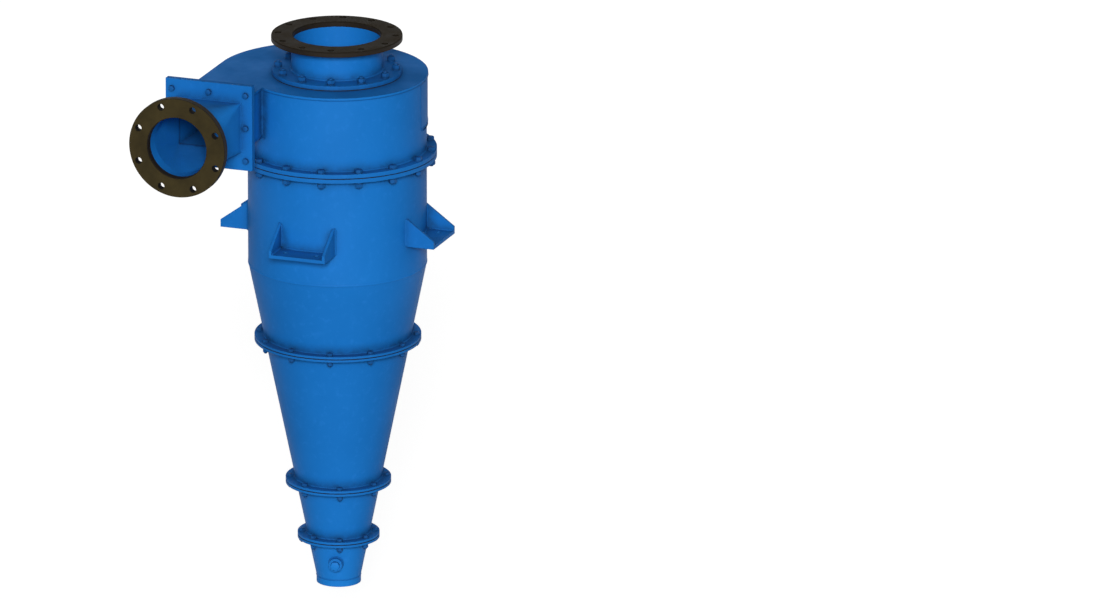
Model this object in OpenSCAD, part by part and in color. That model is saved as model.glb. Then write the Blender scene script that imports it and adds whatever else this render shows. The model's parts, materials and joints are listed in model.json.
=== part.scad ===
// Cyclone separator of welded steel plate, hung from four brackets.
// Dusty gas enters through the round flange at the left, is turned by the scroll, and leaves
// upwards through the middle pipe. Dust slides down the bolted cones to the spigot.
// The origin is in the middle of the front bracket's foot, on its underside. +Z is up, the gas
// inlet faces -Y, and the vertical axis of the body is behind the origin, on +Y.

/* [Body] */
// Outside diameter of the barrel
body_od = 600; // [560:10:680]
// Thickness of the rolled and flat plate
wall = 6; // [4:0.5:8]
// Height of the barrel, from the cone to the head joint
barrel_h = 383; // [340:1:480]
// Height of the cone that is welded to the barrel
upper_cone_h = 264; // [200:1:350]
// Height of the middle cone, between its two joints
middle_cone_h = 504; // [350:2:650]
// Height of the lower cone, between its two joints
lower_cone_h = 194; // [150:1:260]
// Height of the spigot, from its joint to the end of its stub
spigot_h = 167; // [150:1:220]
// Outside diameter of the stub at the dust outlet
dust_od = 150; // [130:2:170]
// Length of the straight stub at the dust outlet
dust_stub = 24; // [20:1:40]

/* [Head and scroll] */
// Height of the head, from its joint to the top of the roof
head_h = 271; // [260:1:340]
// Thickness of the roof plate
roof_t = 8; // [5:1:12]
// Distance that the roof stands out beyond the walls
roof_lip = 2; // [0:1:10]
// Clear height of the inlet duct
duct_h = 160; // [140:2:200]
// Clear width of the inlet duct
duct_w = 218; // [180:2:222]
// Distance of the scroll's centre from the axis
scroll_shift = 52.5; // [48:0.5:60]
// Distance from the axis to the duct joint
duct_reach = 424; // [380:1:450]

/* [Gas outlet] */
// Outside diameter of the outlet pipe
outlet_od = 306; // [280:2:320]
// Wall of the outlet pipe
outlet_wall = 6; // [4:0.5:10]
// Height of the outlet flange face over the roof
neck_h = 132; // [110:1:200]
// Length of the vortex finder under the roof
vortex_depth = 345; // [300:5:400]
// Outside diameter of the outlet flange
outlet_flange_od = 440; // [430:5:460]
// Thickness of the outlet flange
outlet_flange_t = 14; // [10:1:24]
// Distance of the bolts from the edge of the two pipe flanges
pipe_bolt_edge = 22.5; // [20:0.5:26]
// Number of bolts in the outlet flange
outlet_bolts = 12; // [8:4:16]
// Outside diameter of the neck flange on the roof
neck_flange_od = 436; // [420:2:446]
// Thickness of the neck flange
neck_flange_t = 14; // [8:1:20]
// Distance of the bolts from the edge of the neck flange
neck_bolt_edge = 20; // [16:1:24]
// Hole for the bolts of the neck flange
neck_hole = 18; // [14:1:18]

/* [Gas inlet] */
// Outside diameter of the inlet pipe
inlet_od = 219; // [194:1:226]
// Wall of the inlet pipe
inlet_wall = 5; // [4:0.5:6]
// Distance from the axis to the inlet flange face
inlet_reach = 726; // [680:1:800]
// Length of the straight pipe behind the inlet flange
inlet_stub = 45; // [35:1:70]
// Outside diameter of the inlet flange
inlet_flange_od = 340; // [330:5:350]
// Thickness of the inlet flange
inlet_flange_t = 24; // [16:1:28]
// Number of bolts in the inlet flange
inlet_bolts = 8; // [8:4:12]
// Hole for the bolts of the two pipe flanges
pipe_bolt_hole = 22; // [18:1:24]
// Thickness of the gaskets on the two open pipe flanges
face_gasket_t = 4; // [3:0.5:6]

/* [Joints of the body] */
// Width of a body flange outside the shell
flange_w = 34; // [33:1:38]
// Thickness of the two flanges of the head joint
flange_t = 14; // [10:1:18]
// Thickness of the flanges of the cone joints
cone_flange_t = 8; // [6:1:14]
// Distance of the bolts from the shell
bolt_offset = 19; // [18:0.5:20]
// Hole for the bolts of the head joint
head_hole = 18; // [14:1:18]
// Hole for the bolts of the cone joints
joint_hole = 14; // [11:0.5:14]
// Thickness of every gasket between two flanges
gasket_t = 3; // [2:0.5:5]
// Width of the rectangular duct flange beside the duct
duct_border = 45; // [40:1:48]
// Width of the rectangular duct flange above and below the duct
duct_edge = 67; // [50:1:72]
// Thickness of the rectangular duct flange
duct_flange_t = 10; // [8:1:12]

/* [Brackets] */
// Height of the bracket feet over the bottom of the barrel
foot_rise = 105; // [60:5:130]
// Width of a bracket
bracket_w = 200; // [160:5:220]
// Distance that a bracket stands out from the barrel
bracket_reach = 82; // [74:2:100]
// Height of a bracket
bracket_h = 98; // [80:1:130]
// Height of a gusset over the foot plate, at its outer end
bracket_tip_h = 14; // [8:1:30]
// Thickness of the foot plate
foot_t = 12; // [8:1:16]
// Thickness of a gusset
gusset_t = 10; // [6:1:12]
// Hole for an anchor bolt
foot_hole = 18; // [14:1:22]
// Distance between the two anchor bolts of a foot
foot_pitch = 110; // [80:5:120]

/* [Small parts] */
// Outside diameter of the clean-out boss
boss_od = 46; // [40:1:54]
// Diameter of the clean-out plug
plug_d = 32; // [26:1:34]
// Length of the boss outside the cone
boss_out_l = 24; // [20:1:34]
// Direction of the clean-out boss, seen from above
boss_angle = -75; // [-90:1:-60]
// Height of the clean-out boss over the end of the stub
boss_rise = 88; // [80:1:96]

/* [Hidden] */
$fn = 128;
eps = 0.1;
BLUE = [0.10, 0.36, 0.70];
BLACK = [0.12, 0.10, 0.08];
RUBBER = [0.05, 0.05, 0.05];

body_r = body_od / 2;
bore_r = body_r - wall;
dust_r = dust_od / 2;
axis_y = body_r + bracket_reach / 2;

// Levels, from the bracket feet
barrel_z = -foot_rise;
joint1_z = barrel_z - upper_cone_h;
joint2_z = joint1_z - middle_cone_h;
joint3_z = joint2_z - lower_cone_h;
bottom_z = joint3_z - spigot_h;
stub_z = bottom_z + dust_stub;
joint0_z = barrel_z + barrel_h;
roof_z = joint0_z + head_h;
ceiling_z = roof_z - roof_t;
floor_z = ceiling_z - duct_h;
neck_z = roof_z + gasket_t;
outlet_z = roof_z + neck_h;
vortex_z = roof_z - vortex_depth;
duct_z = (ceiling_z + floor_z) / 2;

// The cone has one slope. These give the outside and the inside of the shell at a level.
half_gasket = gasket_t / 2;
cone_joint_t = half_gasket + cone_flange_t;
cone_slope = (body_r - dust_r) / (barrel_z - stub_z);
level_wall = wall * sqrt(1 + cone_slope * cone_slope);
function shell_r(z) = z >= barrel_z ? body_r : dust_r + cone_slope * (z - stub_z);
function shell_in(z) = z >= barrel_z ? bore_r : shell_r(z) - level_wall;
function joint_bolts(r) = 4 * max(2, round(r / 75));

// The scroll: a half turn on its own centre, then the straight duct
scroll_r = body_r + scroll_shift;
duct_left = -(scroll_r + scroll_shift);
duct_x = duct_left + wall + duct_w / 2;
duct_right = duct_left + 2 * wall + duct_w;
duct_end_y = -(duct_reach - half_gasket - duct_flange_t);
transition_y = -(duct_reach + half_gasket + duct_flange_t);

// The inlet pipe
inlet_r = inlet_od / 2;
inlet_bore_r = inlet_r - inlet_wall;
inlet_back_y = -(inlet_reach - inlet_flange_t);
stub_back_y = inlet_back_y + inlet_stub;

outlet_r = outlet_od / 2;
outlet_bore_r = outlet_r - outlet_wall;
roof_hole_r = outlet_r + 3;

// Bolt circles, from the outline of each flange
outlet_pcd = outlet_flange_od - 2 * pipe_bolt_edge;
inlet_pcd = inlet_flange_od - 2 * pipe_bolt_edge;
neck_pcd = neck_flange_od - 2 * neck_bolt_edge;

boss_z = bottom_z + boss_rise;
boss_wall_r = shell_r(boss_z);
boss_end = boss_wall_r + boss_out_l;

// Puts what is drawn round the vertical axis of the body in its place
module at_axis() {
    translate([0, axis_y, 0])
        children();
}

// Flat ring between two levels
module ring(z_low, z_high, r_in, r_out) {
    translate([0, 0, z_low])
        difference() {
            cylinder(h = z_high - z_low, r = r_out);
            translate([0, 0, -1])
                cylinder(h = z_high - z_low + 2, r = r_in);
        }
}

// Holes on a circle round the vertical axis
module hole_circle(z_low, z_high, r, count, d) {
    for (i = [0 : count - 1])
        rotate([0, 0, (i + 0.5) * 360 / count])
            translate([r, 0, z_low - 1])
                cylinder(h = z_high - z_low + 2, d = d, $fn = 32);
}

// Ring whose bore follows the inside of the shell, with the bolt holes of the joint at z_joint
module shell_ring(z_low, z_high, z_joint, border, d) {
    r = shell_r(z_joint);
    difference() {
        rotate_extrude()
            polygon([
                [shell_in(z_low), z_low], [r + border, z_low],
                [r + border, z_high], [shell_in(z_high), z_high]
            ]);
        hole_circle(z_low, z_high, r + bolt_offset, joint_bolts(r), d);
    }
}

module flange_above(z, t, d) {
    at_axis() shell_ring(z + half_gasket, z + half_gasket + t, z, flange_w, d);
}

module flange_below(z, t, d) {
    at_axis() shell_ring(z - half_gasket - t, z - half_gasket, z, flange_w, d);
}

module gasket_at(z, d) {
    at_axis() shell_ring(z - half_gasket, z + half_gasket, z, flange_w - 2, d);
}

// Rolled cone between two levels
module cone_shell(z_low, z_high) {
    rotate_extrude()
        polygon([
            [shell_r(z_low) - level_wall, z_low], [shell_r(z_low), z_low],
            [shell_r(z_high), z_high], [shell_r(z_high) - level_wall, z_high]
        ]);
}

// Half turn of the scroll, behind the axis
module scroll_half(r_in, r_out, z_low, z_high) {
    translate([-scroll_shift, 0, z_low])
        rotate_extrude(angle = 180)
            translate([r_in, 0])
                square([r_out - r_in, z_high - z_low]);
}

// Flat plate with the outline of the scroll and the duct, and a lip outside the walls
module scroll_plate(z_low, z_high, lip) {
    scroll_half(0, scroll_r + lip, z_low, z_high);
    translate([duct_left - lip, duct_end_y, z_low])
        cube([duct_right - duct_left + 2 * lip, -duct_end_y, z_high - z_low]);
}

module roof_plate() {
    color(BLUE)
        at_axis()
            difference() {
                union() {
                    scroll_plate(ceiling_z, roof_z, roof_lip);
                    translate([0, 0, ceiling_z])
                        cylinder(h = roof_t, r = body_r + roof_lip);
                }
                translate([0, 0, ceiling_z - 1])
                    cylinder(h = roof_t + 2, r = roof_hole_r);
                hole_circle(ceiling_z, roof_z, neck_pcd / 2, outlet_bolts, neck_hole);
            }
}

module scroll_floor() {
    color(BLUE)
        at_axis()
            difference() {
                scroll_plate(floor_z - wall, floor_z, 0);
                translate([0, 0, floor_z - wall - 1])
                    cylinder(h = wall + 2, r = bore_r);
            }
}

module scroll_wall() {
    color(BLUE) at_axis() scroll_half(scroll_r - wall, scroll_r, floor_z, ceiling_z);
}

module duct_outer_wall() {
    color(BLUE)
        at_axis()
            translate([duct_left, duct_end_y, floor_z])
                cube([wall, -duct_end_y, duct_h]);
}

// Straight wall that runs from the duct joint to the barrel's circle
module duct_inner_wall() {
    color(BLUE)
        at_axis()
            difference() {
                translate([duct_right - wall, duct_end_y, floor_z])
                    cube([wall, -duct_end_y, duct_h]);
                translate([0, 0, floor_z - 1])
                    cylinder(h = duct_h + 2, r = bore_r);
            }
}

// Shell of the head: a whole ring under the scroll, and its front part up to the roof
module head_shell() {
    color(BLUE)
        at_axis()
            difference() {
                ring(joint0_z + half_gasket + flange_t, ceiling_z, bore_r, body_r);
                translate([-body_od, 0, floor_z - wall])
                    cube([2 * body_od, body_od, head_h]);
                translate([duct_right - body_od, -body_od, floor_z - wall])
                    cube([body_od, 2 * body_od, head_h]);
            }
}

module outlet_gasket() {
    high = outlet_z + face_gasket_t;
    color(RUBBER)
        at_axis()
            difference() {
                ring(outlet_z, high, outlet_bore_r + 2, outlet_flange_od / 2 - 1);
                hole_circle(outlet_z, high, outlet_pcd / 2, outlet_bolts, pipe_bolt_hole + 2);
            }
}

module outlet_flange() {
    low = outlet_z - outlet_flange_t;
    color(BLACK)
        at_axis()
            difference() {
                ring(low, outlet_z, outlet_bore_r, outlet_flange_od / 2);
                hole_circle(low, outlet_z, outlet_pcd / 2, outlet_bolts, pipe_bolt_hole);
            }
}

module outlet_neck() {
    color(BLUE)
        at_axis()
            ring(neck_z + neck_flange_t, outlet_z - outlet_flange_t, outlet_bore_r, outlet_r);
}

module neck_flange() {
    high = neck_z + neck_flange_t;
    color(BLUE)
        at_axis()
            difference() {
                ring(neck_z, high, outlet_bore_r, neck_flange_od / 2);
                hole_circle(neck_z, high, neck_pcd / 2, outlet_bolts, neck_hole);
            }
}

module neck_gasket() {
    color(RUBBER)
        at_axis()
            difference() {
                ring(roof_z, neck_z, roof_hole_r, neck_flange_od / 2 - 1);
                hole_circle(roof_z, neck_z, neck_pcd / 2, outlet_bolts, neck_hole);
            }
}

module vortex_finder() {
    color(BLUE) at_axis() ring(vortex_z, neck_z, outlet_bore_r, outlet_r);
}

// Rectangular frame round the duct, with three bolts a side, smaller by the margin all round
module duct_frame(y_low, thick, margin) {
    side = duct_w / 2 + duct_border - margin;
    rise = duct_h / 2 + duct_edge - margin;
    x_pitch = (duct_w + duct_border) / 2;
    z_pitch = (duct_h + duct_edge) / 2;
    at_axis()
        difference() {
            translate([duct_x - side, y_low, duct_z - rise])
                cube([2 * side, thick, 2 * rise]);
            translate([duct_x - duct_w / 2, y_low - 1, duct_z - duct_h / 2])
                cube([duct_w, thick + 2, duct_h]);
            for (i = [-1 : 1], k = [-1 : 1])
                if (i != 0 || k != 0)
                    translate([duct_x + i * x_pitch, y_low - 1, duct_z + k * z_pitch])
                        rotate([-90, 0, 0])
                            cylinder(h = thick + 2, d = joint_hole, $fn = 32);
        }
}

module duct_flange() {
    color(BLUE) duct_frame(duct_end_y - duct_flange_t, duct_flange_t, 0);
}

module duct_gasket() {
    color(RUBBER) duct_frame(-duct_reach - half_gasket, gasket_t, 1);
}

module transition_flange() {
    color(BLUE) duct_frame(transition_y, duct_flange_t, 0);
}

// Solid that leads from the rectangle of the duct to the circle of the pipe
module square_to_round(width, height, r, y_far, y_near) {
    hull() {
        translate([duct_x - width / 2, y_near - eps, duct_z - height / 2])
            cube([width, eps, height]);
        translate([duct_x, y_far + eps, duct_z])
            rotate([90, 0, 0])
                cylinder(h = eps, r = r, $fn = 64);
    }
}

module inlet_transition() {
    color(BLUE)
        at_axis()
            difference() {
                square_to_round(duct_w + 2 * inlet_wall, duct_h + 2 * inlet_wall, inlet_r,
                    stub_back_y, transition_y);
                square_to_round(duct_w, duct_h, inlet_bore_r, stub_back_y - 1, transition_y + 1);
            }
}

// Ring that lies across the inlet axis
module inlet_ring(y_low, y_high, r_in, r_out) {
    translate([duct_x, y_high, duct_z])
        rotate([90, 0, 0])
            ring(0, y_high - y_low, r_in, r_out);
}

module inlet_holes(y_low, y_high, d) {
    translate([duct_x, y_high, duct_z])
        rotate([90, 0, 0])
            hole_circle(0, y_high - y_low, inlet_pcd / 2, inlet_bolts, d);
}

module inlet_pipe() {
    color(BLUE) at_axis() inlet_ring(inlet_back_y, stub_back_y, inlet_bore_r, inlet_r);
}

module inlet_flange() {
    color(BLACK)
        at_axis()
            difference() {
                inlet_ring(-inlet_reach, inlet_back_y, inlet_bore_r, inlet_flange_od / 2);
                inlet_holes(-inlet_reach, inlet_back_y, pipe_bolt_hole);
            }
}

module inlet_gasket() {
    low = -inlet_reach - face_gasket_t;
    color(RUBBER)
        at_axis()
            difference() {
                inlet_ring(low, -inlet_reach, inlet_bore_r + 2, inlet_flange_od / 2 - 1);
                inlet_holes(low, -inlet_reach, pipe_bolt_hole + 2);
            }
}

module head_flange() { color(BLUE) flange_above(joint0_z, flange_t, head_hole); }
module head_gasket() { color(RUBBER) gasket_at(joint0_z, head_hole); }
module barrel_flange() { color(BLUE) flange_below(joint0_z, flange_t, head_hole); }

module barrel_shell() {
    color(BLUE) at_axis() ring(barrel_z, joint0_z - half_gasket - flange_t, bore_r, body_r);
}

// Bracket that stands out along +X: a foot plate under two gussets that slope up to the barrel
module bracket() {
    half = bracket_w / 2;
    tip = body_r + bracket_reach;
    wall_x = sqrt(body_r * body_r - half * half);
    difference() {
        union() {
            translate([0, -half, 0]) cube([tip, bracket_w, foot_t]);
            for (y = [-half, half - gusset_t])
                translate([0, y + gusset_t, foot_t])
                    rotate([90, 0, 0])
                        linear_extrude(gusset_t)
                            polygon([
                                [0, 0], [tip, 0], [tip, bracket_tip_h],
                                [wall_x, bracket_h - foot_t], [0, bracket_h - foot_t]
                            ]);
        }
        translate([0, 0, -1]) cylinder(h = bracket_h + 2, r = body_r);
        for (y = [-foot_pitch / 2, foot_pitch / 2])
            translate([axis_y, y, -1])
                cylinder(h = foot_t + 2, d = foot_hole, $fn = 32);
    }
}

module right_bracket() { color(BLUE) at_axis() bracket(); }
module back_bracket() { color(BLUE) at_axis() rotate([0, 0, 90]) bracket(); }
module left_bracket() { color(BLUE) at_axis() rotate([0, 0, 180]) bracket(); }
module front_bracket() { color(BLUE) at_axis() rotate([0, 0, 270]) bracket(); }

module upper_cone() {
    color(BLUE) at_axis() cone_shell(joint1_z + cone_joint_t, barrel_z);
}

module middle_cone() {
    color(BLUE)
        at_axis()
            cone_shell(joint2_z + cone_joint_t, joint1_z - cone_joint_t);
}

module lower_cone() {
    color(BLUE)
        at_axis()
            cone_shell(joint3_z + cone_joint_t, joint2_z - cone_joint_t);
}

module upper_cone_flange() { color(BLUE) flange_above(joint1_z, cone_flange_t, joint_hole); }
module middle_cone_gasket() { color(RUBBER) gasket_at(joint1_z, joint_hole); }
module middle_cone_top_flange() { color(BLUE) flange_below(joint1_z, cone_flange_t, joint_hole); }
module middle_cone_bottom_flange() { color(BLUE) flange_above(joint2_z, cone_flange_t, joint_hole); }
module lower_cone_gasket() { color(RUBBER) gasket_at(joint2_z, joint_hole); }
module lower_cone_top_flange() { color(BLUE) flange_below(joint2_z, cone_flange_t, joint_hole); }
module lower_cone_bottom_flange() { color(BLUE) flange_above(joint3_z, cone_flange_t, joint_hole); }
module spigot_gasket() { color(RUBBER) gasket_at(joint3_z, joint_hole); }
module spigot_flange() { color(BLUE) flange_below(joint3_z, cone_flange_t, joint_hole); }

// Places its children on the axis of the clean-out boss, with +Z pointing out of the wall
module on_boss() {
    translate([0, 0, boss_z])
        rotate([0, 0, boss_angle])
            rotate([0, 90, 0])
                children();
}

module spigot() {
    color(BLUE)
        at_axis()
            difference() {
                union() {
                    cone_shell(stub_z, joint3_z - cone_joint_t);
                    ring(bottom_z, stub_z, dust_r - wall, dust_r);
                }
                on_boss() cylinder(h = body_r, d = boss_od);
            }
}

// Boss let into a hole of the spigot's wall
module cleanout_boss() {
    color(BLUE)
        at_axis()
            on_boss()
                translate([0, 0, boss_wall_r - wall])
                    ring(0, boss_end - boss_wall_r + wall, plug_d / 2, boss_od / 2);
}

module cleanout_plug() {
    color(BLUE)
        at_axis()
            on_boss()
                union() {
                    translate([0, 0, boss_wall_r - wall])
                        cylinder(h = boss_end - boss_wall_r + wall, d = plug_d);
                    translate([0, 0, boss_end])
                        cylinder(h = 14, d = plug_d, $fn = 6);
                }
}

outlet_gasket();
outlet_flange();
outlet_neck();
neck_flange();
neck_gasket();
vortex_finder();
roof_plate();
head_shell();
scroll_wall();
scroll_floor();
duct_outer_wall();
duct_inner_wall();
duct_flange();
duct_gasket();
transition_flange();
inlet_transition();
inlet_pipe();
inlet_flange();
inlet_gasket();
head_flange();
head_gasket();
barrel_flange();
barrel_shell();
front_bracket();
right_bracket();
back_bracket();
left_bracket();
upper_cone();
upper_cone_flange();
middle_cone_gasket();
middle_cone_top_flange();
middle_cone();
middle_cone_bottom_flange();
lower_cone_gasket();
lower_cone_top_flange();
lower_cone();
lower_cone_bottom_flange();
spigot_gasket();
spigot_flange();
spigot();
cleanout_boss();
cleanout_plug();
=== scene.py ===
import json
import math
import random

import bpy
from mathutils import Matrix, Vector


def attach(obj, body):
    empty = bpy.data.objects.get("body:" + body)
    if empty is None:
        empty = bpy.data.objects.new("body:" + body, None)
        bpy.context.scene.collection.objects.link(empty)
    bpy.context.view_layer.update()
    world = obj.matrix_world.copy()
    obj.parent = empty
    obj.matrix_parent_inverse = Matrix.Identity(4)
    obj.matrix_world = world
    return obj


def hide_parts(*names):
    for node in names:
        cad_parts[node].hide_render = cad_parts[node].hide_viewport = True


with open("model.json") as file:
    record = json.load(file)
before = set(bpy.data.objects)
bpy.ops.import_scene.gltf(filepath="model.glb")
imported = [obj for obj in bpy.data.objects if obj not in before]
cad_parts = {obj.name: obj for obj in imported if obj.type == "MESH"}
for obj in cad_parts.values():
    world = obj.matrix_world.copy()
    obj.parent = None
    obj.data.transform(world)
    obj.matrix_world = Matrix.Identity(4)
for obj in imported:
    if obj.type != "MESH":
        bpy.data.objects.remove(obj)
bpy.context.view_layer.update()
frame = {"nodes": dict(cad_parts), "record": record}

MM = 0.001
AXIS = Vector((0.0, 341.0, 0.0))  # the vessel's vertical axis, in mm
rng = random.Random(41)

# Sizes of the CAD model that the pieces below sit on, in mm from the vessel's axis.
# Radii are those of outside faces.
BODY_R = 300.0
STUB_R, STUB_Z = 75.0, -1210.0
CONE_SLOPE = (BODY_R - STUB_R) / 1105.0
BARREL_END = -105.0
HEAD_LOW, HEAD_HIGH = 262.5, 293.5  # outer faces of the head joint
HEAD_BOLTS, HEAD_BOLT_R = 16, 319.0
JOINTS = ((-369.0, 12), (-873.0, 8), (-1067.0, 8))  # level and number of bolts
CONE_JOINT = 9.5  # from the middle of a cone joint to its outer faces
CONE_BOLT_OUT = 19.0  # from the shell to the bolts
CEILING, ROOF = 541.0, 549.0
FLOOR, FLOOR_LOW = 381.0, 375.0
SCROLL_X, SCROLL_R = -52.5, 352.5
NECK_R, NECK_LOW, NECK_HIGH = 153.0, 566.0, 667.0
NECK_BOLTS, NECK_BOLT_R = 12, 198.0
DUCT_X, DUCT_Z = -290.0, 461.0
DUCT_LEFT, DUCT_RIGHT = -405.0, -175.0
DUCT_BACK, DUCT_FRONT = -412.5, -435.5  # outer faces of the duct joint
DUCT_BOLT_X, DUCT_BOLT_Z = 131.5, 113.5
PIPE_R, PIPE_BACK, PIPE_FRONT = 109.5, -657.0, -702.0
FOOT_T = 12.0
GUSSET_IN, GUSSET_OUT = 90.0, 100.0  # faces of a bracket's gussets, from its middle
BOSS_Z, BOSS_R, BOSS_OUT, BOSS_TURN = -1146.0, 23.0, 24.0, -75.0


def shell_r(z):
    """Outside radius of the cone at a level."""
    return STUB_R + CONE_SLOPE * (z - STUB_Z)


# ---------------------------------------------------------------- materials


def node(tree, kind, **values):
    """Adds a node at the end of the row and sets its properties."""
    n = tree.nodes.new(kind)
    n.location = (220 * len(tree.nodes), 0)
    for key, value in values.items():
        setattr(n, key, value)
    return n


def new_material(name):
    """Empty material with its output. Returns it with its tree and the output's surface."""
    material = bpy.data.materials.new(name)
    material.use_nodes = True
    tree = material.node_tree
    tree.nodes.clear()
    return material, tree, node(tree, "ShaderNodeOutputMaterial").inputs["Surface"]


def noise(tree, coords, scale, detail=3.0, rough=0.5):
    n = node(tree, "ShaderNodeTexNoise")
    n.inputs["Scale"].default_value = scale
    n.inputs["Detail"].default_value = detail
    n.inputs["Roughness"].default_value = rough
    tree.links.new(coords, n.inputs["Vector"])
    return n.outputs["Fac"]


def span(tree, value, from_min, from_max, to_min=0.0, to_max=1.0):
    """Maps a value to another range, clamped."""
    n = node(tree, "ShaderNodeMapRange")
    n.inputs["From Min"].default_value = from_min
    n.inputs["From Max"].default_value = from_max
    n.inputs["To Min"].default_value = to_min
    n.inputs["To Max"].default_value = to_max
    tree.links.new(value, n.inputs["Value"])
    return n.outputs["Result"]


def maths(tree, operation, a, b):
    n = node(tree, "ShaderNodeMath", operation=operation)
    for socket, value in zip(n.inputs, (a, b)):
        if isinstance(value, (int, float)):
            socket.default_value = value
        else:
            tree.links.new(value, socket)
    return n.outputs[0]


def mix(tree, factor, a, b):
    """Mixes two colours."""
    n = node(tree, "ShaderNodeMix", data_type="RGBA")
    tree.links.new(factor, n.inputs["Factor"])
    for name, value in (("A", a), ("B", b)):
        socket = [s for s in n.inputs if s.name == name and s.type == "RGBA"][0]
        if isinstance(value, tuple):
            socket.default_value = (*value, 1.0)
        else:
            tree.links.new(value, socket)
    return [s for s in n.outputs if s.type == "RGBA"][0]


def scaled(colour, factor, plus):
    """The colour, darker or lighter."""
    return tuple(min(1.0, c * factor + plus) for c in colour)


def bump(tree, height, normal, strength, distance, **values):
    n = node(tree, "ShaderNodeBump", **values)
    n.inputs["Strength"].default_value = strength
    n.inputs["Distance"].default_value = distance
    tree.links.new(height, n.inputs["Height"])
    tree.links.new(normal, n.inputs["Normal"])
    return n.outputs["Normal"]


def edge_mask(tree, radius, low, high):
    """1 on sharp edges and corners, 0 on flat surfaces, and the rounded normal."""
    bevel = node(tree, "ShaderNodeBevel", samples=4)
    bevel.inputs["Radius"].default_value = radius
    geometry = node(tree, "ShaderNodeNewGeometry")
    dot = node(tree, "ShaderNodeVectorMath", operation="DOT_PRODUCT")
    tree.links.new(bevel.outputs["Normal"], dot.inputs[0])
    tree.links.new(geometry.outputs["Normal"], dot.inputs[1])
    return span(tree, dot.outputs["Value"], high, low), bevel.outputs["Normal"]


def paint(name, base, shade, chips, gloss=0.50, shade_in_corners=0.92):
    """Sprayed enamel on steel plate: colour drift, orange peel, painted shade in corners and on
    what faces up, worn edges.
    """
    material, tree, surface = new_material(name)
    bsdf = node(tree, "ShaderNodeBsdfPrincipled")
    tree.links.new(bsdf.outputs["BSDF"], surface)
    coords = node(tree, "ShaderNodeTexCoord").outputs["Object"]

    drift = noise(tree, coords, 3.2, 4.0, 0.55)
    fine = noise(tree, coords, 46.0, 5.0, 0.6)
    speck = noise(tree, coords, 420.0, 2.0, 0.5)
    colour = mix(tree, span(tree, drift, 0.3, 0.72), base, shade)
    pale = scaled(base, 1.22, 0.012)
    colour = mix(tree, span(tree, fine, 0.54, 0.8, 0.0, 0.34), colour, pale)

    # painted shade: the colour is darkened in corners and beside the welds, where the ambient
    # occlusion is deep
    corner = node(tree, "ShaderNodeAmbientOcclusion", samples=6, only_local=False)
    corner.inputs["Distance"].default_value = 0.040
    corner_shade_mask = span(tree, corner.outputs["AO"], 0.92, 0.45, 0.0, shade_in_corners)
    corner_shade_mask = maths(tree, "MULTIPLY", corner_shade_mask, span(tree, fine, 0.25, 0.7, 0.45, 1.0))
    colour = mix(tree, corner_shade_mask, colour, scaled(base, 0.20, 0.003))

    # painted shade: the colour of what faces up is darkened
    geometry = node(tree, "ShaderNodeNewGeometry")
    split = node(tree, "ShaderNodeSeparateXYZ")
    tree.links.new(geometry.outputs["Normal"], split.inputs[0])
    up = span(tree, split.outputs["Z"], 0.6, 1.0, 0.0, 0.60)
    up = maths(tree, "MULTIPLY", up, span(tree, drift, 0.35, 0.65, 0.3, 1.0))
    colour = mix(tree, up, colour, scaled(base, 0.42, 0.006))

    # edges where the paint has thinned, and chips where the primer shows
    edge, rounded = edge_mask(tree, 0.0022, 0.72, 0.985)
    worn = maths(tree, "MULTIPLY", edge, span(tree, fine, 0.36, 0.60, 0.25, 1.0))
    worn = maths(tree, "MULTIPLY", worn, 0.4 + 0.5 * chips)
    colour = mix(tree, worn, colour, scaled(base, 0.32, 0.004))
    chip = maths(tree, "MULTIPLY", edge, span(tree, speck, 0.60, 0.66))
    chip = maths(tree, "MULTIPLY", chip, span(tree, fine, 0.52, 0.60))
    chip = maths(tree, "MULTIPLY", chip, chips)
    primer = (0.085, 0.080, 0.078)
    tree.links.new(mix(tree, chip, colour, primer), bsdf.inputs["Base Color"])

    # where corner shade and top shade are painted, the paint is also made more matt
    rough = span(tree, drift, 0.3, 0.75, gloss, gloss + 0.13)
    rough = maths(tree, "ADD", rough, maths(tree, "MULTIPLY", corner_shade_mask, 0.3))
    rough = maths(tree, "ADD", rough, maths(tree, "MULTIPLY", up, 0.4))
    tree.links.new(rough, bsdf.inputs["Roughness"])
    bsdf.inputs["Specular IOR Level"].default_value = 0.10

    # orange peel over the slow waves of rolled plate, and chips that lie a little deeper
    peel = noise(tree, coords, 330.0, 2.0, 0.5)
    wave = noise(tree, coords, 9.0, 1.0, 0.5)
    normal = bump(tree, wave, rounded, 0.22, 0.004)
    normal = bump(tree, peel, normal, 0.35, 0.00012)
    normal = bump(tree, chip, normal, 0.5, 0.0003, invert=True)
    tree.links.new(normal, bsdf.inputs["Normal"])
    return material


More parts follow.
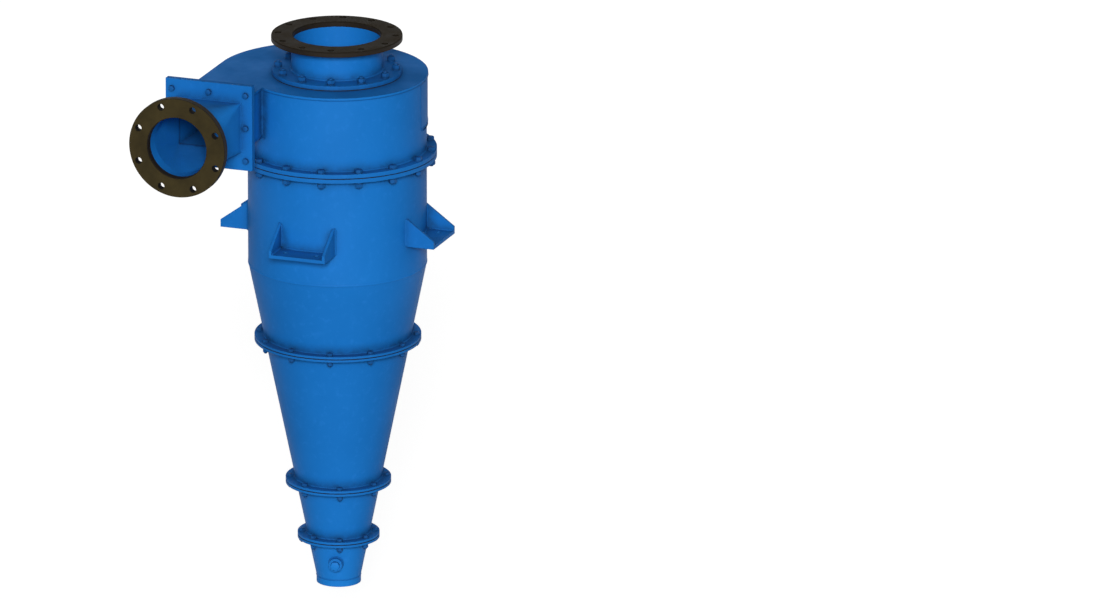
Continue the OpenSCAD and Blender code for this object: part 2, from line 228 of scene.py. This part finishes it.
def rubber(name, base, pale, coarse):
    """Gasket sheet: matt, mottled, with the print of its fabric and a frayed pale edge."""
    material, tree, surface = new_material(name)
    bsdf = node(tree, "ShaderNodeBsdfPrincipled")
    tree.links.new(bsdf.outputs["BSDF"], surface)
    coords = node(tree, "ShaderNodeTexCoord").outputs["Object"]
    blotch = noise(tree, coords, 16.0, 5.0, 0.6)
    grain = noise(tree, coords, 700.0, 2.0, 0.6)
    colour = mix(tree, span(tree, blotch, 0.32, 0.68), base, pale)
    edge, rounded = edge_mask(tree, 0.001, 0.75, 0.98)
    colour = mix(tree, maths(tree, "MULTIPLY", edge, 0.5), colour, scaled(pale, 1.8, 0.01))
    tree.links.new(colour, bsdf.inputs["Base Color"])
    tree.links.new(span(tree, blotch, 0.3, 0.7, 0.62, 0.88), bsdf.inputs["Roughness"])
    bsdf.inputs["Specular IOR Level"].default_value = 0.06
    weave = node(tree, "ShaderNodeTexWave", wave_type="BANDS", bands_direction="DIAGONAL")
    weave.inputs["Scale"].default_value = 190.0
    weave.inputs["Distortion"].default_value = 1.2
    weave.inputs["Detail"].default_value = 1.0
    tree.links.new(coords, weave.inputs["Vector"])
    height = maths(tree, "MULTIPLY", weave.outputs["Fac"], 0.5)
    height = maths(tree, "ADD", height, grain)
    tree.links.new(bump(tree, height, rounded, coarse, 0.0003), bsdf.inputs["Normal"])
    return material


m_plate = paint("plate_paint", (0.009, 0.172, 0.552), (0.006, 0.150, 0.492), 0.35)
# painted shade: flanges and brackets get a darker copy of the plate paint; their edges also chip
# more
m_shaded_flange = paint("shaded_flange_paint", (0.008, 0.158, 0.515), (0.006, 0.134, 0.450), 0.6)
m_weld = paint("weld_paint", (0.007, 0.142, 0.470), (0.005, 0.118, 0.400), 0.3, gloss=0.54)
m_bolt = paint("bolt_paint", (0.007, 0.105, 0.350), (0.005, 0.080, 0.270), 0.9, gloss=0.46)
# painted light: a lighter copy of the plate paint, with weaker painted corner shade
m_lighter_lit = paint("lighter_lit_paint", (0.011, 0.190, 0.600), (0.008, 0.168, 0.540), 0.35, shade_in_corners=0.40)
m_black = paint("black_paint", (0.020, 0.015, 0.010), (0.013, 0.010, 0.008), 0.4)
m_gasket = rubber("joint_gasket", (0.010, 0.010, 0.011), (0.022, 0.021, 0.021), 0.35)
m_inlet_face = rubber("inlet_face_gasket", (0.029, 0.022, 0.009), (0.050, 0.038, 0.015), 0.45)
m_outlet_face = rubber("outlet_face_gasket", (0.010, 0.008, 0.005), (0.021, 0.016, 0.010), 0.45)

# painted shade: parts with these words in their names take the darker copy of the plate paint
FLANGES = ("flange", "bracket")
FACES = {"outlet_gasket": m_outlet_face, "inlet_gasket": m_inlet_face}
# painted light: these parts take the lighter copy of the plate paint
LIGHTER_LIT_PARTS = ("spigot", "cleanout_boss", "inlet_pipe", "inlet_transition")
slots = {s["node"]: s["material_slot"] for s in frame["record"]["subparts"]}
for name, obj in frame["nodes"].items():
    if slots[name] == "gasket":
        material = FACES.get(name, m_gasket)
    elif slots[name] == "black_paint":
        material = m_black
    elif name in LIGHTER_LIT_PARTS:
        material = m_lighter_lit
    else:
        material = m_shaded_flange if any(word in name for word in FLANGES) else m_plate
    obj.data.materials.clear()
    obj.data.materials.append(material)

# ---------------------------------------------------------------- mesh tools


class Heap:
    """Points in mm and faces of one piece, gathered from many small forms."""

    def __init__(self):
        self.points = []
        self.faces = []

    def add(self, points, faces, place=None):
        start = len(self.points)
        for point in points:
            moved = place @ Vector(point) if place is not None else point
            self.points.append(tuple(moved))
        self.faces.extend([tuple(i + start for i in face) for face in faces])

    def rings(self, rings, place=None, closed=False):
        """Joins rings of the same number of points. A ring of one point is a tip."""
        points, faces, starts = [], [], []
        for ring in rings:
            starts.append(len(points))
            points.extend(ring)
        pairs = list(zip(range(len(rings)), range(1, len(rings))))
        if closed:
            pairs.append((len(rings) - 1, 0))
        for a, b in pairs:
            na, nb = len(rings[a]), len(rings[b])
            count = max(na, nb)
            for i in range(count):
                j = (i + 1) % count
                if na == 1:
                    face = (starts[a], starts[b] + j, starts[b] + i)
                elif nb == 1:
                    face = (starts[a] + i, starts[a] + j, starts[b])
                else:
                    face = (starts[a] + i, starts[a] + j, starts[b] + j, starts[b] + i)
                faces.append(face)
        self.add(points, faces, place)

    def piece(self, name, material, angle=38.0):
        """Makes the piece and gives it to the body."""
        mesh = bpy.data.meshes.new(name)
        mesh.from_pydata([tuple(p * MM for p in point) for point in self.points], [], self.faces)
        mesh.validate()
        mesh.materials.append(material)
        mesh.shade_smooth()
        mesh.set_sharp_from_angle(angle=math.radians(angle))
        obj = bpy.data.objects.new(name, mesh)
        bpy.context.scene.collection.objects.link(obj)
        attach(obj, "root")
        return obj


def turn(angle, axis="Z"):
    return Matrix.Rotation(angle, 4, axis)


def circle(r, z, n):
    return [(r * math.cos(2 * math.pi * i / n), r * math.sin(2 * math.pi * i / n), z)
            for i in range(n)]


def hex_r(angle, half):
    """Distance from the middle to the side of a hexagon, half of it wide across flats."""
    part = (angle + math.pi / 6) % (math.pi / 3) - math.pi / 6
    return half / math.cos(part)


def hexagon(heap, place, half, z0, z1, hole=0.0, bottom_chamfer=False):
    """Hexagonal head or nut with turned chamfers. hole is the radius of its bore."""
    n = 48
    flat = half * 0.95
    chamfer_slope = 0.58
    bore_chamfer = 0.8

    def ring(z, chamfer, sign):
        points = []
        for i in range(n):
            a = 2 * math.pi * i / n
            r = hex_r(a, half)
            drop = max(0.0, r - flat) * chamfer_slope if chamfer else 0.0
            points.append((r * math.cos(a), r * math.sin(a), z - sign * drop))
        return points

    rings = []
    if hole:
        rings.append(circle(hole, z0 + 0.6, n))
        rings.append(circle(hole + bore_chamfer, z0, n))
    else:
        rings.append([(0.0, 0.0, z0)])
    if bottom_chamfer:
        rings.append(circle(flat, z0, n))
    rings.append(ring(z0, bottom_chamfer, -1))
    rings.append(ring(z1, True, 1))
    rings.append(circle(flat, z1, n))
    if hole:
        rings.append(circle(hole + bore_chamfer, z1, n))
        rings.append(circle(hole, z1 - bore_chamfer, n))
    else:
        rings.append([(0.0, 0.0, z1)])
    heap.rings(rings, place, closed=bool(hole))


def washer(heap, place, r_in, r_out, z0, z1):
    n = 40
    c = 0.35
    heap.rings([circle(r_in, z0, n), circle(r_out - c, z0, n), circle(r_out, z0 + c, n),
                circle(r_out, z1 - c, n), circle(r_out - c, z1, n), circle(r_in, z1, n)],
               place, closed=True)


def lock_washer(heap, place, r_in, r_out, z0, thick):
    """Split spring washer whose two ends stand a little apart."""
    n = 34
    gap = math.radians(9)
    points = []
    for i in range(n):
        t = i / (n - 1)
        a = gap / 2 + t * (2 * math.pi - gap)
        lift = 0.35 * thick * (t - 0.5)
        ca, sa = math.cos(a), math.sin(a)
        low, high = z0 + max(0.0, lift), z0 + thick + min(0.0, lift)
        points += [(r_in * ca, r_in * sa, low), (r_out * ca, r_out * sa, low),
                   (r_out * ca, r_out * sa, high), (r_in * ca, r_in * sa, high)]
    faces = [(0, 1, 2, 3), tuple(4 * (n - 1) + k for k in (3, 2, 1, 0))]
    for i in range(n - 1):
        for k in range(4):
            m = (k + 1) % 4
            faces.append((4 * i + k, 4 * (i + 1) + k, 4 * (i + 1) + m, 4 * i + m))
    heap.add(points, faces, place)


def thread(heap, place, r, z0, z1, pitch):
    """Threaded end: ridges at the pitch of the thread and a chamfered tip."""
    n = 32
    root = r * 0.86
    rings = [circle(root, z0, n)]
    z = z0
    while z + pitch < z1 - 1.0:
        rings.append(circle(root, z + 0.08 * pitch, n))
        rings.append(circle(r, z + 0.46 * pitch, n))
        rings.append(circle(r, z + 0.60 * pitch, n))
        z += pitch
    rings.append(circle(root, z + 0.05, n))
    rings.append(circle(r * 0.80, z1 - 0.2, n))
    rings.append(circle(r * 0.72, z1, n))
    rings.append([(0.0, 0.0, z1)])
    heap.rings(rings, place)


# ---------------------------------------------------------------- bolts

# Radius, half width across flats, height of head and nut, pitch, radius and height of washer
M12 = (6.0, 9.0, 7.5, 10.0, 1.75, 10.2, 2.0)
M16 = (8.0, 12.0, 10.0, 13.0, 2.0, 13.8, 2.5)
LOCK_T = 2.4  # thickness of the lock washers
THREAD_OUT = 5.0  # length of thread that stands out of a nut


def bolt(heap, place, grip, size):
    """Screw down through a joint. +Z of place points out of the top face, where the head is.
    grip is the thickness of what is clamped."""
    r, half, head, nut, pitch, washer_r, washer_t = size
    above = place @ turn(rng.uniform(0, math.pi / 3))
    washer(heap, above, r + 0.4, washer_r, 0.0, washer_t)
    hexagon(heap, above, half, washer_t, washer_t + head)
    # the plain shank, seen through the gap of the holes
    heap.rings([circle(r, -grip - washer_t, 24), circle(r, washer_t, 24)], place)
    under = place @ Matrix.Translation((0, 0, -grip)) @ turn(math.pi, "X")
    under = under @ turn(rng.uniform(0, math.pi / 3))
    nut_low = washer_t + LOCK_T
    nut_high = nut_low + nut
    washer(heap, under, r + 0.4, washer_r, 0.0, washer_t)
    lock_washer(heap, under, r + 0.3, r + 3.6, washer_t, LOCK_T)
    hexagon(heap, under, half, nut_low, nut_high, r - 0.1, True)
    thread(heap, under, r, nut_high - 1.5, nut_high + THREAD_OUT, pitch)


def bolts(name, places, grip, size):
    heap = Heap()
    for place in places:
        bolt(heap, place, grip, size)
    heap.piece(name, m_bolt)


def bolt_circle(count, first, r, z):
    """Places of bolts on a level circle round the vessel's axis. first is a part of the step."""
    centre = Matrix.Translation(AXIS)
    return [centre @ turn(math.radians((i + first) * 360 / count)) @ Matrix.Translation((r, 0, z))
            for i in range(count)]


bolts("head_joint_bolts", bolt_circle(HEAD_BOLTS, 0.5, HEAD_BOLT_R, HEAD_HIGH),
      HEAD_HIGH - HEAD_LOW, M16)
for number, (z, count) in enumerate(JOINTS, 1):
    bolts("cone_joint_%d_bolts" % number,
          bolt_circle(count, 0.5, shell_r(z) + CONE_BOLT_OUT, z + CONE_JOINT), 2 * CONE_JOINT, M12)
# studs through the roof: the head is inside, the nut on the neck flange
bolts("neck_flange_bolts",
      [place @ turn(math.pi, "X") for place in bolt_circle(NECK_BOLTS, 0.5, NECK_BOLT_R, CEILING)],
      NECK_LOW - CEILING, M16)
bolts("duct_joint_bolts",
      [Matrix.Translation(AXIS + Vector((DUCT_X + DUCT_BOLT_X * i, DUCT_FRONT,
                                         DUCT_Z + DUCT_BOLT_Z * k))) @ turn(math.pi / 2, "X")
       for i in (-1, 0, 1) for k in (-1, 0, 1) if i or k],
      DUCT_BACK - DUCT_FRONT, M12)

# ---------------------------------------------------------------- welds

RIPPLE = 4.6  # distance between two ripples of a weld, in mm
STEPS = 3  # rings of points for each ripple
SINK = 0.3  # depth of a fillet's edges in the plates


def resampled(path, length, steps, closed):
    """Points at even distances along the path, with their u and v."""
    nodes = path + [path[0]] if closed else path
    marks = [0.0]
    for i in range(len(nodes) - 1):
        marks.append(marks[-1] + (nodes[i + 1][0] - nodes[i][0]).length)
    samples, k = [], 0
    for s in range(steps if closed else steps + 1):
        target = length * s / steps
        while k < len(nodes) - 2 and marks[k + 1] < target:
            k += 1
        f = (target - marks[k]) / max(1e-9, marks[k + 1] - marks[k])
        samples.append((nodes[k][0].lerp(nodes[k + 1][0], f),
                        nodes[k][1].lerp(nodes[k + 1][1], f).normalized(),
                        nodes[k][2].lerp(nodes[k + 1][2], f).normalized()))
    return samples


def bead(heap, path, leg, closed=False, high=None):
    """Weld bead along a path of (point, u, v). A fillet fills the corner between the directions
    u and v. With high it is a butt bead, which lies along u on both sides and rises along v."""
    butt = high is not None
    length = sum((path[i + 1][0] - path[i][0]).length for i in range(len(path) - 1))
    if closed:
        length += (path[0][0] - path[-1][0]).length
    total = max(3, round(length / RIPPLE))
    samples = resampled(path, length, total * STEPS, closed)
    phase = [rng.uniform(0, 6.28) for _ in range(3)]
    points = []
    count = 7 if butt else 6
    for number, (p, u, v) in enumerate(samples):
        wave = number / float(STEPS)
        x = wave / total
        slow = 1.0 + 0.05 * math.sin(2 * math.pi * round(length / 90.0) * x + phase[0])
        slow += 0.03 * math.sin(2 * math.pi * round(length / 37.0) * x + phase[1])
        fade = 1.0
        if not closed:
            fade = min(1.0, 0.25 + 3.0 * min(x, 1.0 - x) * length / (3.0 * leg))
        size = leg * slow * fade
        for i in range(count):
            t = i / (count - 1)
            arch = math.sin(math.pi * t)
            ripple = 0.5 + 0.5 * math.cos(2 * math.pi * (wave - 0.42 * arch))
            if butt:
                a = math.pi * t
                lift = high * slow * fade * (0.86 + 0.3 * ripple) * math.sin(a)
                if i in (0, count - 1):
                    lift -= 0.4
                point = p + u * (size * math.cos(a)) + v * lift
            else:
                a = math.pi / 2 * t
                bulge = 1.0 - 0.17 * arch + 0.075 * (ripple - 0.5) * (0.4 + arch)
                point = p + u * (size * bulge * math.cos(a)) + v * (size * bulge * math.sin(a))
                if i == 0:
                    point -= v * SINK
                if i == count - 1:
                    point -= u * SINK
            points.append(tuple(point))
    last = len(samples) - 1
    faces = []
    for a in range(len(samples) if closed else last):
        b = (a + 1) % len(samples)
        for i in range(count - 1):
            faces.append((a * count + i, a * count + i + 1, b * count + i + 1, b * count + i))
    if not closed:
        faces.append(tuple(range(count))[::-1])
        faces.append(tuple(last * count + i for i in range(count)))
    start = samples[0]
    ahead = samples[1][0] - start[0]
    if ahead.dot(start[1].cross(start[2])) > 0:
        faces = [f[::-1] for f in faces]
    heap.add(points, faces)


def weld(name, *beads, material=m_weld):
    """Makes one piece of several beads. Each is the list of what bead takes after the heap."""
    heap = Heap()
    for values in beads:
        bead(heap, *values)
    heap.piece(name, material, angle=60)


def arc(r, z, a0, a1, u, v, x=0.0):
    """Path on a level circle. u and v are (radial, up) parts of the two directions."""
    n = max(6, int(abs(math.radians(a1 - a0)) * r / 12.0))
    full = abs(a1 - a0) >= 359.9
    path = []
    for i in range(n if full else n + 1):
        a = math.radians(a0 + (a1 - a0) * i / n)
        radial = Vector((math.cos(a), math.sin(a), 0))
        p = AXIS + Vector((x, 0, z)) + radial * r
        path.append((p, (radial * u[0] + Vector((0, 0, u[1]))).normalized(),
                     (radial * v[0] + Vector((0, 0, v[1]))).normalized()))
    return path


def ring(r, z, u, v):
    return arc(r, z, 0, 360, u, v)


def line(a, b, u, v, n):
    """Straight path in the vessel's frame."""
    a, b = AXIS + Vector(a), AXIS + Vector(b)
    u, v = Vector(u).normalized(), Vector(v).normalized()
    return [(a.lerp(b, i / n), u, v) for i in range(n + 1)]


def upright(x, y, low, high, angle, n):
    """Upright path on a wall that faces the angle."""
    return line((x, y, low), (x, y, high), (-math.sin(angle), math.cos(angle), 0),
                (math.cos(angle), math.sin(angle), 0), n)


def cone_seam(low, high, angle):
    """Path up the cone."""
    a = math.radians(angle)
    radial = Vector((math.cos(a), math.sin(a), 0))
    return line(tuple(radial * shell_r(low) + Vector((0, 0, low))),
                tuple(radial * shell_r(high) + Vector((0, 0, high))),
                (-math.sin(a), math.cos(a), 0), tuple(radial + Vector((0, 0, -CONE_SLOPE))), 40)


OUT, UP, DOWN = (1, 0), (0, 1), (0, -1)

# head joint and barrel
weld("weld_head_joint",
     (ring(BODY_R, HEAD_HIGH, OUT, UP), 4.6, True),
     (ring(BODY_R, HEAD_LOW, OUT, DOWN), 4.6, True))
SEAM = 1.2  # direction of the barrel's upright seam, in radians
weld("weld_barrel_seams",
     (ring(BODY_R, BARREL_END, UP, OUT), 4.0, True, 0.8),
     (upright(BODY_R * math.cos(SEAM), BODY_R * math.sin(SEAM), -100, 255, SEAM, 40),
      4.0, False, 1.0),
     material=m_plate)

# cone joints
for number, (z, count) in enumerate(JOINTS, 1):
    high, low = z + CONE_JOINT, z - CONE_JOINT
    weld("weld_cone_joint_%d" % number,
         (ring(shell_r(high), high, OUT, (CONE_SLOPE, 1)), 3.8, True),
         (ring(shell_r(low), low, OUT, (-CONE_SLOPE, -1)), 3.8, True))

# upright seams of the cones, the scroll and the head, and the seam of the stub
seams = [cone_seam(-358.0, -106.0, 118), cone_seam(-862.0, -380.0, 62),
         cone_seam(-1056.0, -884.0, 140), cone_seam(-1209.0, -1078.0, 85),
         upright(SCROLL_X, SCROLL_R, FLOOR + 2, CEILING - 2, math.radians(90), 30),
         upright(BODY_R, 0, FLOOR + 2, CEILING - 2, 0.0, 30)]
weld("weld_seams", *[(path, 4.0, False, 1.0) for path in seams],
     (ring(STUB_R, STUB_Z, UP, OUT), 3.4, True, 1.2))

# roof, floor and walls of the scroll. The duct's inner wall meets the barrel at MEET.
MEET = (DUCT_RIGHT, -243.66)
start = math.degrees(math.atan2(MEET[1], MEET[0]))
NEAR = -409  # where the duct's welds end behind its flange
left_near, right_near = (DUCT_LEFT, NEAR), (DUCT_RIGHT, NEAR)
weld("weld_scroll",
     (arc(BODY_R, CEILING, start + 1.2, 0.0, OUT, DOWN), 2.6),
     (arc(SCROLL_R, CEILING, 0.0, 180.0, OUT, DOWN, SCROLL_X), 2.6),
     (line((DUCT_LEFT, 0, CEILING), (*left_near, CEILING), (-1, 0, 0), (0, 0, -1), 40), 2.6),
     (line((*right_near, CEILING), (DUCT_RIGHT, -247, CEILING), (1, 0, 0), (0, 0, -1), 20), 2.6),
     (arc(SCROLL_R, FLOOR, 0.0, 180.0, UP, OUT, SCROLL_X), 3.6, False, 1.3),
     (line((DUCT_LEFT, 0, FLOOR), (*left_near, FLOOR), (0, 0, 1), (-1, 0, 0), 40), 3.6, False, 1.3),
     (line((*right_near, FLOOR), (DUCT_RIGHT, -247, FLOOR), (0, 0, 1), (1, 0, 0), 20),
      3.6, False, 1.3),
     (arc(BODY_R, FLOOR_LOW, 4.0, 180 + 58, OUT, DOWN), 4.2),
     (line((DUCT_RIGHT, -243.2, FLOOR + 1), (DUCT_RIGHT, -243.2, CEILING - 1),
           (0.02, -1, 0), (0.81, -0.58, 0), 30), 4.2))


def rectangle(half_x, half_z, y, forward, corner=2.5):
    """Closed path round a rectangle in the plane of the duct joint."""
    path = []
    for cx, cz, a0 in ((1, 1, 0), (-1, 1, 90), (-1, -1, 180), (1, -1, 270)):
        for i in range(7):
            a = math.radians(a0 + 15 * i)
            out = Vector((math.cos(a), 0, math.sin(a)))
            centre = Vector((DUCT_X + cx * (half_x - corner), y, DUCT_Z + cz * (half_z - corner)))
            path.append((AXIS + (centre + out * corner), out, Vector((0, forward, 0))))
    dense = []
    for i, item in enumerate(path):
        after = path[(i + 1) % len(path)]
        n = max(1, int((after[0] - item[0]).length / 12))
        for k in range(n):
            t = k / n
            dense.append((item[0].lerp(after[0], t), item[1].lerp(after[1], t), item[2]))
    return dense


def inlet_ring(y, u, v):
    """Closed path round the inlet pipe. u and v are (radial, along y) parts."""
    path = []
    for i in range(96):
        a = 2 * math.pi * i / 96
        out = Vector((math.cos(a), 0, math.sin(a)))
        p = AXIS + Vector((DUCT_X, y, DUCT_Z)) + out * PIPE_R
        path.append((p, (out * u[0] + Vector((0, u[1], 0))).normalized(),
                     (out * v[0] + Vector((0, v[1], 0))).normalized()))
    return path


# duct joint: round the back of its flange, and round the transition in front
weld("weld_duct_joint",
     *[(line((x, DUCT_BACK, FLOOR_LOW + 2), (x, DUCT_BACK, CEILING - 1),
             (side, 0, 0), (0, 1, 0), 20), 3.2)
       for side, x in ((-1, DUCT_LEFT), (1, DUCT_RIGHT))],
     *[(line((DUCT_LEFT + 1, DUCT_BACK, z), (DUCT_RIGHT - 1, DUCT_BACK, z),
             (0, 0, side), (0, 1, 0), 20), 3.0)
       for side, z in ((1, ROOF), (-1, FLOOR_LOW))],
     (rectangle(114.0, 85.0, DUCT_FRONT, -1), 3.4, True))
weld("weld_inlet",
     (inlet_ring(PIPE_FRONT, OUT, UP), 5.0, True),
     (inlet_ring(PIPE_BACK, UP, OUT), 3.6, True, 1.3))
weld("weld_outlet_neck",
     (ring(NECK_R, NECK_LOW, OUT, UP), 5.5, True),
     (ring(NECK_R, NECK_HIGH, OUT, DOWN), 5.5, True))


def bracket_welds():
    """Beads of the bracket that faces +X."""
    reach = math.degrees(math.asin((GUSSET_IN - 1) / BODY_R))
    edge = math.degrees(math.asin((GUSSET_OUT - 1) / BODY_R))
    beads = [(arc(BODY_R, FOOT_T, -reach, reach, OUT, UP), 5.0),
             (arc(BODY_R, 0.0, -edge, edge, OUT, DOWN), 5.0)]
    out_x = math.sqrt(BODY_R ** 2 - GUSSET_OUT ** 2)
    in_x = math.sqrt(BODY_R ** 2 - GUSSET_IN ** 2)
    for side in (-1, 1):
        out_y, in_y = side * GUSSET_OUT, side * GUSSET_IN
        outward = (-GUSSET_OUT / BODY_R, side * out_x / BODY_R, 0)
        inward = (GUSSET_IN / BODY_R, -side * in_x / BODY_R, 0)
        beads += [(line((out_x, out_y, 1), (out_x, out_y, 96), outward, (1, 0, 0), 20), 4.6),
                  (line((in_x, in_y, FOOT_T + 1), (in_x, in_y, 93), inward, (1, 0, 0), 20), 4.6),
                  (line((292, in_y, FOOT_T), (379, in_y, FOOT_T), (0, -side, 0), (0, 0, 1), 12),
                   4.6)]
    return beads


for name, angle in (("front", -90), ("right", 0), ("back", 90), ("left", 180)):
    spin = Matrix.Rotation(math.radians(angle), 3, "Z")
    weld("weld_%s_bracket" % name,
         *[([(AXIS + spin @ (p - AXIS), spin @ u, spin @ v) for p, u, v in path], *values)
           for path, *values in bracket_welds()])

# clean-out boss: the weld follows the cone where the round boss leaves it
boss = turn(math.radians(BOSS_TURN))
spin = boss.to_3x3()
path = []
for i in range(48):
    a = 2 * math.pi * i / 48
    y, z = BOSS_R * math.cos(a), BOSS_Z + BOSS_R * math.sin(a)
    x = math.sqrt(shell_r(z) ** 2 - y * y)
    path.append((AXIS + spin @ Vector((x, y, z)), spin @ Vector((0, math.cos(a), math.sin(a))),
                 spin @ Vector((1, 0, 0))))
weld("weld_cleanout_boss", (path, 3.6, True))

# ---------------------------------------------------------------- plug

heap = Heap()
place = Matrix.Translation(AXIS + Vector((0, 0, BOSS_Z))) @ boss @ turn(math.pi / 2, "Y")
n = 48
root, crest = 15.2, 15.95  # radii of the plug's thread
inner = shell_r(BOSS_Z) - 5.7
face = shell_r(BOSS_Z) + BOSS_OUT
rings = [[(0, 0, inner)], circle(14.4, inner, n), circle(root, inner + 1.0, n)]
z = inner + 1.4
while z < face - 4.0:
    rings += [circle(root, z, n), circle(crest, z + 1.0, n), circle(crest, z + 1.3, n)]
    z += 2.3
rings += [circle(root, face - 0.3, n), circle(root, face + 0.2, n), [(0, 0, face + 0.2)]]
heap.rings(rings, place)
washer(heap, place, 15.0, 20.5, face + 0.1, face + 1.8)
hexagon(heap, place, 13.85, face + 1.7, face + 13.9)
# painted light: the plug head takes the lighter copy of the plate paint
plug = heap.piece("plug_head", m_lighter_lit)
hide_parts("cleanout_plug")

# ---------------------------------------------------------------- stage


def seen_rays(tree):
    """1 for what the camera, gloss or glass shows of the background, 0 for its light."""
    light = node(tree, "ShaderNodeLightPath")
    seen = maths(tree, "MAXIMUM", light.outputs["Is Camera Ray"], light.outputs["Is Glossy Ray"])
    return maths(tree, "MAXIMUM", seen, light.outputs["Is Transmission Ray"])


def stage_floor():
    """Wide pale floor under the hanging vessel, open to a camera that looks from below."""
    z, half, cells = -1.60, 45.0, 6
    row = cells + 1
    points = [(half * (2 * i / cells - 1), half * (2 * j / cells - 1), z)
              for j in range(row) for i in range(row)]
    faces = [(j * row + i, j * row + i + 1, (j + 1) * row + i + 1, (j + 1) * row + i)
             for j in range(cells) for i in range(cells)]
    mesh = bpy.data.meshes.new("stage_floor")
    mesh.from_pydata(points, [], faces)
    obj = bpy.data.objects.new("stage_floor", mesh)
    bpy.context.scene.collection.objects.link(obj)
    material, tree, surface = new_material("stage_floor")
    diffuse = node(tree, "ShaderNodeBsdfDiffuse")
    diffuse.inputs["Color"].default_value = (0.40, 0.40, 0.40, 1)
    glow = node(tree, "ShaderNodeEmission")
    tree.links.new(maths(tree, "MULTIPLY", seen_rays(tree), 0.84), glow.inputs["Strength"])
    both = node(tree, "ShaderNodeAddShader")
    tree.links.new(diffuse.outputs[0], both.inputs[0])
    tree.links.new(glow.outputs[0], both.inputs[1])
    clear = node(tree, "ShaderNodeBsdfTransparent")
    side = node(tree, "ShaderNodeNewGeometry")
    pick = node(tree, "ShaderNodeMixShader")
    tree.links.new(side.outputs["Backfacing"], pick.inputs[0])
    tree.links.new(both.outputs[0], pick.inputs[1])
    tree.links.new(clear.outputs[0], pick.inputs[2])
    tree.links.new(pick.outputs[0], surface)
    mesh.materials.append(material)


def studio_world():
    """Dim even light that looks white."""
    world = bpy.data.worlds.new("studio")
    bpy.context.scene.world = world
    world.use_nodes = True
    tree = world.node_tree
    tree.nodes.clear()
    out = node(tree, "ShaderNodeOutputWorld")
    pick = node(tree, "ShaderNodeMixShader")
    tree.links.new(seen_rays(tree), pick.inputs[0])
    for socket, strength in ((1, 0.11), (2, 1.0)):
        background = node(tree, "ShaderNodeBackground")
        background.inputs["Color"].default_value = (1.0, 1.0, 1.0, 1)
        background.inputs["Strength"].default_value = strength
        tree.links.new(background.outputs[0], pick.inputs[socket])
    tree.links.new(pick.outputs[0], out.inputs["Surface"])


def lamp(name, side, height, strength, soft, glossy):
    """Distant soft lamp, given by its direction from the vessel in degrees and its angular size.
    Without glossy it makes no highlights."""
    data = bpy.data.lights.new(name, "SUN")
    data.energy = strength
    data.angle = math.radians(soft)
    obj = bpy.data.objects.new(name, data)
    obj.visible_glossy = glossy
    bpy.context.scene.collection.objects.link(obj)
    a, e = math.radians(side), math.radians(height)
    away = Vector((math.sin(a) * math.cos(e), -math.cos(a) * math.cos(e), math.sin(e)))
    obj.location = AXIS * MM + away * 8.0
    obj.rotation_mode = "QUATERNION"
    obj.rotation_quaternion = (-away).to_track_quat("-Z", "Y")


def photo_camera():
    """Camera at the photograph's angle. The vessel stands left of the middle of the picture."""
    azimuth, elevation = math.radians(20.31), math.radians(17.22)
    distance, aside, below = 61.44, 0.712, 0.2346
    sin_a, cos_a = math.sin(azimuth), math.cos(azimuth)
    sin_e, cos_e = math.sin(elevation), math.cos(elevation)
    right = Vector((cos_a, sin_a, 0))
    back = Vector((sin_a * cos_e, -cos_a * cos_e, sin_e))
    up = Vector((-sin_a * sin_e, cos_a * sin_e, cos_e))
    camera = bpy.data.cameras.new("camera")
    camera.lens = 600.0
    camera.sensor_width = 36.0
    camera.clip_start, camera.clip_end = 1.0, 400.0
    obj = bpy.data.objects.new("camera", camera)
    bpy.context.scene.collection.objects.link(obj)
    obj.location = AXIS * MM + right * aside - up * below + back * distance
    obj.rotation_mode = "QUATERNION"
    obj.rotation_quaternion = (-back).to_track_quat("-Z", "Y")
    bpy.context.scene.camera = obj


stage_floor()
studio_world()
photo_camera()
lamp("key", 20, 21, 3.05, 14, True)
lamp("rear", 200, 7, 2.2, 40, False)
bpy.context.scene.view_settings.view_transform = "Standard"
